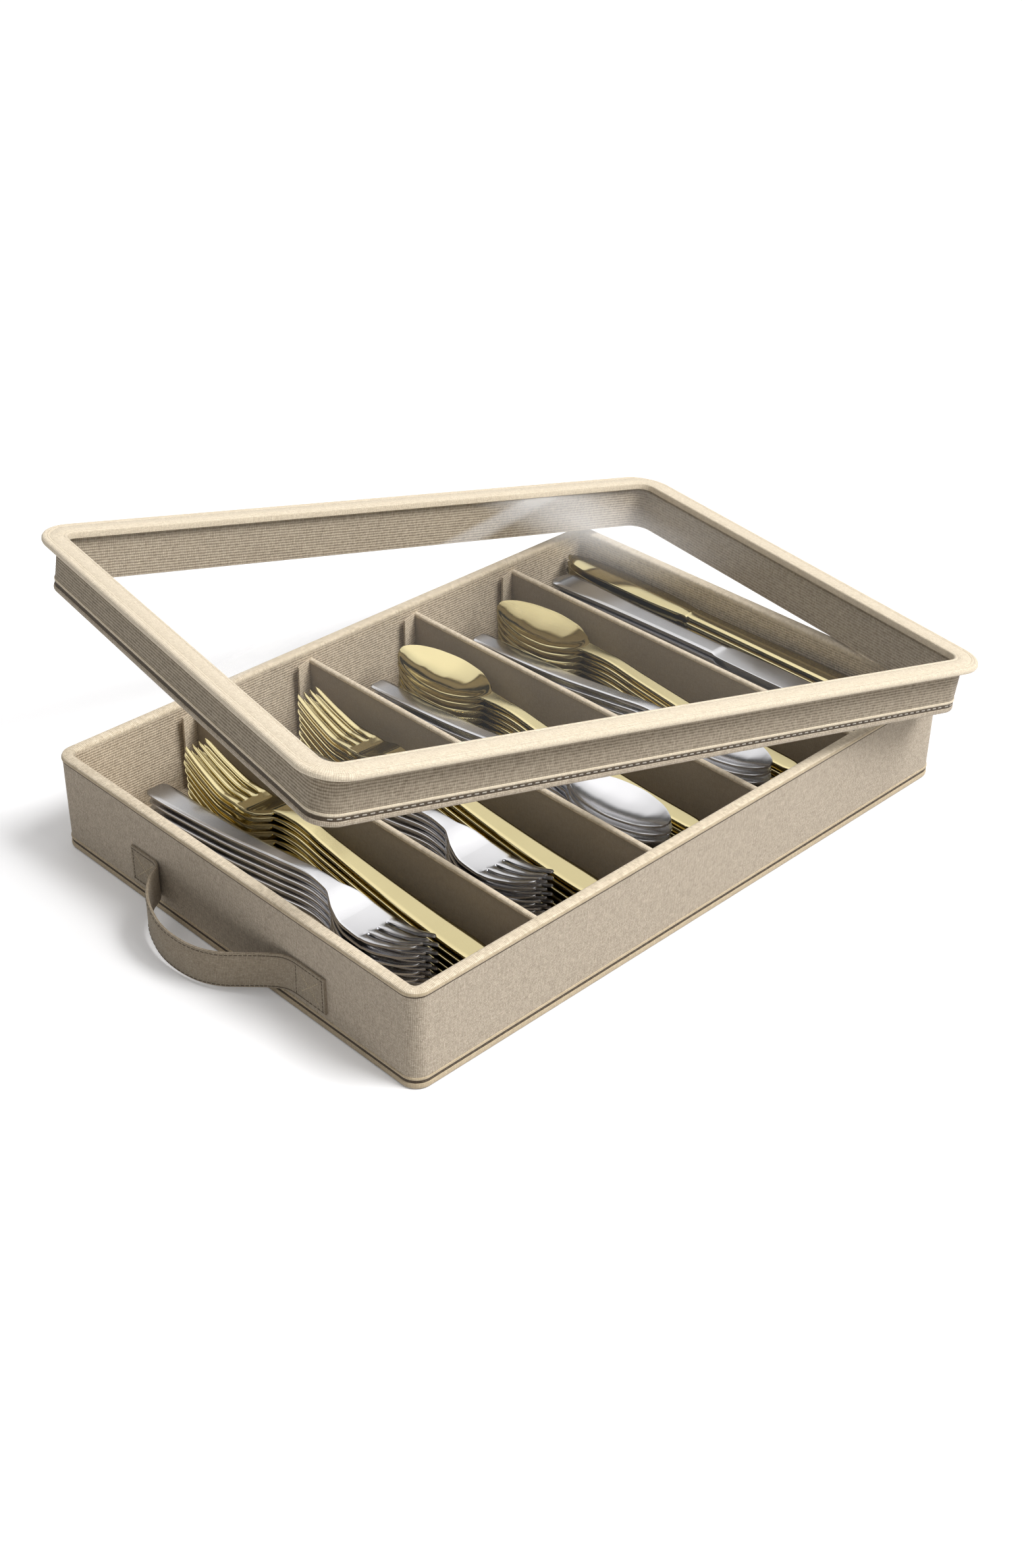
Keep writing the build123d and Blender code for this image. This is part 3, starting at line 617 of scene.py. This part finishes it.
def utensil(name, spec, material):
    """The mesh of one piece, from the end of its handle at y = 0 to its tip, face up."""
    length = spec["length"]
    tines = spec.get("tines")
    keys = [k[0] for k in (*spec["halves"], *spec["tops"])]
    ends = [np.linspace(0, 0.16, 12) ** 2, 1 - np.linspace(0, 0.2, 14) ** 2]
    marks = [np.linspace(0, 1, 70), *ends, np.array(keys)]
    if tines:
        marks.append(tines["root"] + np.linspace(0, 1, 7) ** 2 * tines["slot"] / length)
    s = np.unique(np.round(np.concatenate(marks), 5))
    along = ("halves", "tops", "thicknesses", "crown", "chamfer")
    half, top, thick, crown, chamfer = (curve(spec[key], s) for key in along)
    left = curve(spec.get("lefts", spec["halves"]), s)
    dish = curve(spec["dish"], s) if "dish" in spec else np.zeros_like(s)
    if tines:
        columns = tine_columns(spec, s, half)
    else:
        columns = [(u, 0, u * (half if u > 0 else left)) for u in ACROSS]
    us = np.array([c[0] for c in columns])
    bow = 1 - us ** 2
    edge = np.clip((np.abs(us) - BEVEL_SHARE) / (1 - BEVEL_SHARE), 0, 1)
    heights = top[:, None] + (crown - dish)[:, None] * bow[None, :] - chamfer[:, None] * edge[None, :]
    if tines:
        across_tine = np.array([((u + 1) * TINES / 2 % 1) * 2 - 1 if abs(u) < 1 else 1.0 for u in us])
        grown = np.clip((s - tines["root"]) * length / 4, 0, 1)
        heights += TINE_CROWN * grown[:, None] * (1 - across_tine ** 2)[None, :]
    sideways = np.stack([c[2] for c in columns], 1)
    upper = np.stack([sideways, np.repeat((s * length)[:, None], len(us), 1), heights], 2)
    across = np.zeros_like(upper)
    across[..., 0] = np.maximum(half, 0.1)[:, None]
    across[..., 2] = (crown - dish)[:, None] * (-2 * us)[None, :]
    normal = np.cross(across, np.gradient(upper, axis=0))
    normal /= np.linalg.norm(normal, axis=2, keepdims=True)
    side = spec["edge"]
    rounded = (side + (1 - side) * np.sqrt(np.clip(bow, 0, 1)))[None, :]
    depth = thick[:, None] * np.where(s[:, None] > spec["flat_from"], 1.0, rounded)
    lower = upper - normal * depth[..., None]
    wide = len(columns)
    points = [tuple(p) for p in upper.reshape(-1, 3)] + [tuple(p) for p in lower.reshape(-1, 3)]
    under = len(s) * wide
    joined = {}
    seams = [k for k in range(wide - 1) if columns[k][1] != columns[k + 1][1]]
    for i in range(len(s)):
        if tines and s[i] <= tines["root"] + 1e-6:
            joined.update({i * wide + k + 1: i * wide + k for k in seams})
    quads, edges = [], set()
    for i in range(len(s) - 1):
        for k in range(wide - 1):
            if k not in seams:
                corners = (i * wide + k, i * wide + k + 1, (i + 1) * wide + k + 1, (i + 1) * wide + k)
                quads.append(tuple(joined.get(v, v) for v in corners))
    for q in quads:
        edges.update(zip(q, q[1:] + q[:1]))
    faces = quads + [tuple(v + under for v in reversed(q)) for q in quads]
    faces += [(b, a, a + under, b + under) for a, b in sorted(edges) if (b, a) not in edges]
    mesh = bpy.data.meshes.new(name)
    mesh.from_pydata([Vector(p) * MM for p in points], [], faces)
    mesh.materials.append(material)
    mesh.validate()
    whole = bpy.data.objects.new(name, mesh)
    bpy.context.scene.collection.objects.link(whole)
    whole.modifiers.new("weld", "WELD").merge_threshold = 0.02 * MM
    soft = whole.modifiers.new("bevel", "BEVEL")
    soft.width = FLATWARE_BEVEL * MM
    soft.segments = 2
    soft.limit_method = "ANGLE"
    soft.angle_limit = math.radians(50)
    bpy.context.view_layer.update()
    done = bpy.data.meshes.new_from_object(whole.evaluated_get(bpy.context.evaluated_depsgraph_get()))
    bpy.data.objects.remove(whole)
    done.name = name
    done.shade_smooth()
    done.set_sharp_from_angle(angle=math.radians(35))
    return done


# Each piece's outline and section by keys of (share of its length from the handle's end, value). halves is
# half its width (lefts on a side that differs), tops its upper face's height, flat_from where its underside
# stops being rounded, and NECK the thickness that still lets it nest in the piece below. ACROSS has the
# stations over the width of a piece without tines, as shares of half its width.
ACROSS = [-1, -0.89, -0.78, -0.66, -0.53, -0.4, -0.27, -0.13, 0, 0.13, 0.27, 0.4, 0.53, 0.66, 0.78, 0.89, 1]
NECK = STACK_PITCH - 0.4
KNIFE_NECK = KNIFE_PITCH - 0.3
SILVER_FORK = {
    "length": 213.0, "edge": 0.5, "flat_from": 0.69,
    "halves": ((0, 5.2), (0.005, 6.3), (0.02, 6.9), (0.05, 7.0), (0.15, 6.3), (0.45, 4.0), (0.60, 3.3),
               (0.68, 4.2), (0.73, 9.3), (0.78, 11.9), (0.85, 12.2), (0.93, 10.3), (1, 8.2)),
    "tops": ((0, 2.0), (0.15, 3.0), (0.30, 5.0), (0.50, 10.3), (0.62, 13.2), (0.69, 11.6), (0.77, 5.0),
             (0.84, 3.8), (0.92, 7.0), (1, 14.0)),
    "thicknesses": ((0, 1.9), (0.3, 2.2), (0.5, 3.2), (0.6, NECK), (0.69, 3.2), (0.77, 1.9), (0.87, 1.3),
                    (1, 0.8)),
    "crown": ((0, 0.05), (0.5, 0.1), (0.62, 0.3), (0.7, 0.0), (0.85, -0.5), (1, -0.3)),
    "chamfer": ((0, 0.35), (0.55, 0.35), (0.68, 0.0), (1, 0.0)),
    "tines": {"root": 0.835, "slot": 2.3, "spread": 0.004, "tip": 0.985},
}
GOLD_FORK = {
    "length": 226.0, "edge": 0.5, "flat_from": 0.68,
    "halves": ((0, 5.2), (0.005, 6.3), (0.02, 6.9), (0.05, 7.0), (0.15, 6.5), (0.45, 4.6), (0.60, 4.1),
               (0.64, 4.3), (0.675, 5.4), (0.70, 7.4), (0.73, 9.2), (0.76, 9.8), (0.84, 10.2),
               (0.92, 9.4), (1, 8.3)),
    "tops": ((0, 2.0), (0.15, 3.1), (0.30, 5.5), (0.50, 10.3), (0.60, 13.2), (0.67, 12.4), (0.76, 5.6),
             (0.84, 5.6), (0.92, 10.0), (1, 17.4)),
    "thicknesses": ((0, 1.9), (0.3, 2.2), (0.5, 3.2), (0.6, NECK), (0.67, 3.4), (0.76, 1.9), (0.85, 1.3),
                    (1, 0.8)),
    "crown": ((0, 0.05), (0.5, 0.1), (0.62, 0.3), (0.7, 0.0), (0.85, -0.5), (1, -0.3)),
    "chamfer": ((0, 0.35), (0.55, 0.35), (0.68, 0.0), (1, 0.0)),
    "tines": {"root": 0.79, "slot": 2.2, "spread": 0.004, "tip": 0.985},
}
SILVER_SPOON = {
    "length": 223.0, "edge": 0.5, "flat_from": 0.71,
    "halves": ((0, 4.6), (0.005, 5.4), (0.02, 5.8), (0.05, 5.9), (0.15, 5.5), (0.45, 4.0), (0.62, 3.4),
               (0.69, 4.4), (0.74, 10.2), (0.80, 14.6), (0.86, 15.7), (0.93, 12.9), (0.975, 7.9),
               (0.994, 3.8), (1, 0.6)),
    "tops": ((0, 2.1), (0.15, 2.9), (0.30, 4.4), (0.50, 9.0), (0.62, 11.6), (0.69, 11.2), (0.76, 10.4),
             (0.9, 10.4), (1, 11.0)),
    "thicknesses": ((0, 1.9), (0.3, 2.2), (0.5, 3.0), (0.62, NECK), (0.69, 2.8), (0.76, 1.5), (1, 1.3)),
    "crown": ((0, 0.05), (0.5, 0.1), (0.62, 0.3), (0.7, 0.0), (1, 0.0)),
    "chamfer": ((0, 0.35), (0.55, 0.35), (0.68, 0.0), (1, 0.0)),
    "dish": ((0, 0), (0.69, 0), (0.74, 2.0), (0.80, 4.2), (0.86, 4.8), (0.93, 3.6), (0.98, 1.2), (1, 0)),
}
GOLD_SPOON = {
    "length": 231.0, "edge": 0.5, "flat_from": 0.71,
    "halves": ((0, 2.8), (0.006, 4.2), (0.02, 5.0), (0.05, 5.2), (0.15, 5.0), (0.45, 4.2), (0.62, 3.8),
               (0.69, 4.6), (0.73, 10.6), (0.79, 16.5), (0.85, 17.6), (0.92, 14.9), (0.97, 9.6),
               (0.993, 4.4), (1, 0.6)),
    "tops": ((0, 2.1), (0.15, 3.1), (0.30, 5.2), (0.50, 10.0), (0.61, 12.8), (0.69, 12.4), (0.75, 11.6),
             (0.9, 12.8), (1, 14.4)),
    "thicknesses": ((0, 1.9), (0.3, 2.2), (0.5, 3.0), (0.61, NECK), (0.69, 2.8), (0.76, 1.5), (1, 1.3)),
    "crown": ((0, 0.05), (0.5, 0.1), (0.62, 0.3), (0.7, 0.0), (1, 0.0)),
    "chamfer": ((0, 0.35), (0.55, 0.35), (0.68, 0.0), (1, 0.0)),
    "dish": ((0, 0), (0.69, 0), (0.73, 2.2), (0.79, 4.8), (0.85, 5.4), (0.92, 4.2), (0.98, 1.4), (1, 0)),
}
SILVER_KNIFE = {
    "length": 240.0, "edge": 0.45, "flat_from": 0.58,
    "halves": ((0, 5.4), (0.006, 7.6), (0.02, 8.7), (0.04, 9.0), (0.15, 7.8), (0.30, 6.9), (0.45, 6.6),
               (0.545, 6.8), (0.56, 7.4), (0.60, 7.8), (0.72, 8.2), (0.86, 8.2), (0.94, 6.6), (0.98, 4.0),
               (1, 1.2)),
    "lefts": ((0, 5.4), (0.006, 7.6), (0.02, 8.7), (0.04, 9.0), (0.15, 7.6), (0.30, 6.2), (0.45, 5.7),
              (0.545, 5.8), (0.56, 7.4), (0.60, 8.2), (0.72, 8.8), (0.86, 8.6), (0.94, 6.6), (0.98, 4.0),
              (1, 1.2)),
    "tops": ((0, 3.4), (0.03, 4.2), (0.54, 4.25), (0.553, 3.5), (0.58, 3.35), (1, 2.9)),
    "thicknesses": ((0, 2.8), (0.03, KNIFE_NECK), (0.54, KNIFE_NECK), (0.56, 2.1), (1, 1.1)),
    "crown": ((0, 0.05), (0.54, 0.05), (0.6, 0.05), (1, 0.05)),
    "chamfer": ((0, 0.4), (0.53, 0.4), (0.56, 0.0), (1, 0.0)),
}
GOLD_KNIFE = {
    "length": 230.0, "edge": 0.45, "flat_from": 0.57,
    "halves": ((0, 4.2), (0.006, 6.0), (0.02, 7.1), (0.05, 7.4), (0.20, 7.0), (0.45, 6.2), (0.53, 6.2),
               (0.555, 6.0), (0.575, 6.6), (0.70, 8.6), (0.86, 8.9), (0.94, 7.2), (0.985, 4.0), (1, 1.2)),
    "tops": ((0, 3.4), (0.03, 4.2), (0.53, 4.25), (0.540, 4.25), (0.545, 3.0), (0.550, 3.55), (0.57, 3.6),
             (1, 4.0)),
    "thicknesses": ((0, 2.8), (0.03, KNIFE_NECK), (0.53, KNIFE_NECK), (0.56, 2.0), (1, 1.1)),
    "crown": ((0, 0.3), (0.53, 0.3), (0.6, 0.9), (1, 0.9)),
    "chamfer": ((0, 0.6), (0.52, 0.6), (0.56, 0.0), (1, 0.0)),
}


def flatware():
    """The ten stacks, where the CAD has them; each piece lies a little off its neighbours."""
    forks = utensil("silver_fork_shape", SILVER_FORK, SILVER), utensil("gold_fork_shape", GOLD_FORK, GOLD)
    spoons = (utensil("silver_spoon_shape", SILVER_SPOON, SILVER),
              utensil("gold_spoon_shape", GOLD_SPOON, GOLD))
    knives = (utensil("silver_knife_shape", SILVER_KNIFE, SILVER),
              utensil("gold_knife_shape", GOLD_KNIFE, GOLD))
    lines = [DIVIDERS[0] - DIVIDER_PITCH + FIRST_BAY_SHIFT, *DIVIDERS]
    # name, shape, count, x from the bay's line, y of the handles' ends, heading in degrees, pitch, bays
    rows = (
        ("silver_forks", forks[0], 6, 33.0, BAY_HALF - 22.2, 181.0, STACK_PITCH, (1, 2)),
        ("gold_forks", forks[1], 7, 55.0, -BAY_HALF + 18.2, -0.6, STACK_PITCH, (1, 2)),
        ("silver_spoons", spoons[0], 7, 27.85, BAY_HALF - 26.2, 181.0, STACK_PITCH, (3, 4)),
        ("gold_spoons", spoons[1], 7, 52.35, -BAY_HALF + 19.2, -0.2, STACK_PITCH, (3, 4)),
        ("silver_knives", knives[0], 9, 22.9, BAY_HALF - 18.8, 181.0, KNIFE_PITCH, (5,)),
        ("gold_knives", knives[1], 9, 49.0, BAY_HALF - 2.0 - GOLD_KNIFE["length"], 0.0, KNIFE_PITCH, (5,)),
    )
    stacks = [(f"{row[0]}_bay_{bay}", *row[1:3], lines[bay - 1] + row[3], *row[4:7])
              for row in rows for bay in row[7]]
    turn, sideways, endways = 0.12, 0.25, 1.0
    for name, mesh, count, x, y, heading, pitch in stacks:
        for level in range(count):
            piece = bpy.data.objects.new(f"{name}_{level + 1}", mesh)
            bpy.context.scene.collection.objects.link(piece)
            wobble = random.uniform(-turn, turn)
            slide = random.uniform(-sideways, sideways), random.uniform(-endways, endways)
            piece.matrix_world = (
                Matrix.Translation(Vector((x + slide[0], y + slide[1], REST + level * pitch)) * MM)
                @ Euler((0, 0, math.radians(heading + wobble))).to_matrix().to_4x4())
            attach(piece, "stack_" + name)
            if level == 0:
                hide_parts(name)


# ------------------------------------------------------------------ floor, light and camera
def studio():
    """A pale floor, one large soft lamp and a soft sky."""
    floor_size, floor_drop = 12, 0.0002
    lamp_size, lamp_energy, lamp_place = 3.2, 490, (2.0, -3.4, 5.2)
    bpy.ops.mesh.primitive_plane_add(size=floor_size, location=(0, 0, -floor_drop))
    floor = bpy.context.object
    floor.name = "studio_floor"
    s = Shader("floor_paper")
    grain = s.ramp(s.noise(s.add("TexCoord").outputs["Object"], 30.0, 2.0), 0.2, 0.8)
    seen = s.add("LightPath").outputs["Is Camera Ray"]
    bounced = s.mix(grain, (0.80, 0.80, 0.80, 1), (0.82, 0.82, 0.82, 1))
    tone = s.mix(seen, bounced, (0.93, 0.93, 0.94, 1))
    lift = s.maths("MULTIPLY", seen, 0.1)
    paper = s.add("BsdfPrincipled", {"Base Color": tone, "Roughness": 0.6, "Specular IOR Level": 0.3,
                                     "Emission Color": (1, 1, 1, 1), "Emission Strength": lift})
    floor.data.materials.append(s.surface(paper.outputs[0]))
    sky = Shader("studio_world", bpy.data.worlds, "ShaderNodeOutputWorld")
    bpy.context.scene.world = sky.material
    height = sky.add("SeparateXYZ", {0: sky.add("TexCoord").outputs["Generated"]}).outputs[2]
    rays = sky.add("LightPath")
    # height is the sine of a direction's elevation. Polished metal mirrors a sky of its own.
    rise = sky.ramp(height, 0.42, 0.66, 0.14, 0.85, "SMOOTHSTEP")
    fall = sky.ramp(height, 0.72, 0.95, 1.0, 0.5, "SMOOTHSTEP")
    mirrored = sky.ramp(height, 0.38, 0.60, 0.03, 0.95, "SMOOTHSTEP")
    mirrored = sky.maths("ADD", mirrored, sky.ramp(height, 0.66, 0.9, 0.0, 0.35, "SMOOTHSTEP"))
    mirrored = sky.maths("ADD", mirrored, sky.ramp(height, 0.0, 0.2, 0.35, 0.0, "SMOOTHSTEP"))
    strength = sky.mix(rays.outputs["Is Glossy Ray"], sky.maths("MULTIPLY", rise, fall), mirrored)
    strength = sky.mix(rays.outputs["Is Camera Ray"], strength, (1, 1, 1, 1))
    glow = sky.add("Background", {"Color": (1.0, 0.99, 0.98, 1), "Strength": strength})
    sky.surface(glow.outputs[0])
    light = bpy.data.lights.new("key", "AREA")
    light.size, light.energy = lamp_size, lamp_energy
    lamp = bpy.data.objects.new("key", light)
    bpy.context.scene.collection.objects.link(lamp)
    lamp.location = lamp_place
    lamp.rotation_euler = (-lamp.location).to_track_quat("-Z", "Y").to_euler()


def camera():
    """The camera that was fitted to the photograph."""
    sensor, focal, nearest = 36.0, 71.505, 0.01
    place = (-0.66667, -0.67046, 0.62966)
    right, forward = Vector((0.71461, -0.69943, 0.01113)), Vector((0.5905, 0.5947, -0.5455))
    view = bpy.data.cameras.new("camera")
    view.sensor_fit = "HORIZONTAL"
    view.sensor_width = sensor
    view.lens = focal
    view.clip_start = nearest
    right = right.normalized()
    forward = (forward - right * forward.dot(right)).normalized()
    up = right.cross(forward)
    eye = bpy.data.objects.new("camera", view)
    bpy.context.scene.collection.objects.link(eye)
    turn = Matrix((right, up, -forward)).transposed().to_4x4()
    eye.matrix_world = Matrix.Translation(place) @ turn
    bpy.context.scene.camera = eye


tray()
dividers()
lid()
strap("left", 1)
strap("right", -1)
flatware()
studio()
camera()
bpy.context.scene.view_settings.view_transform = "Standard"
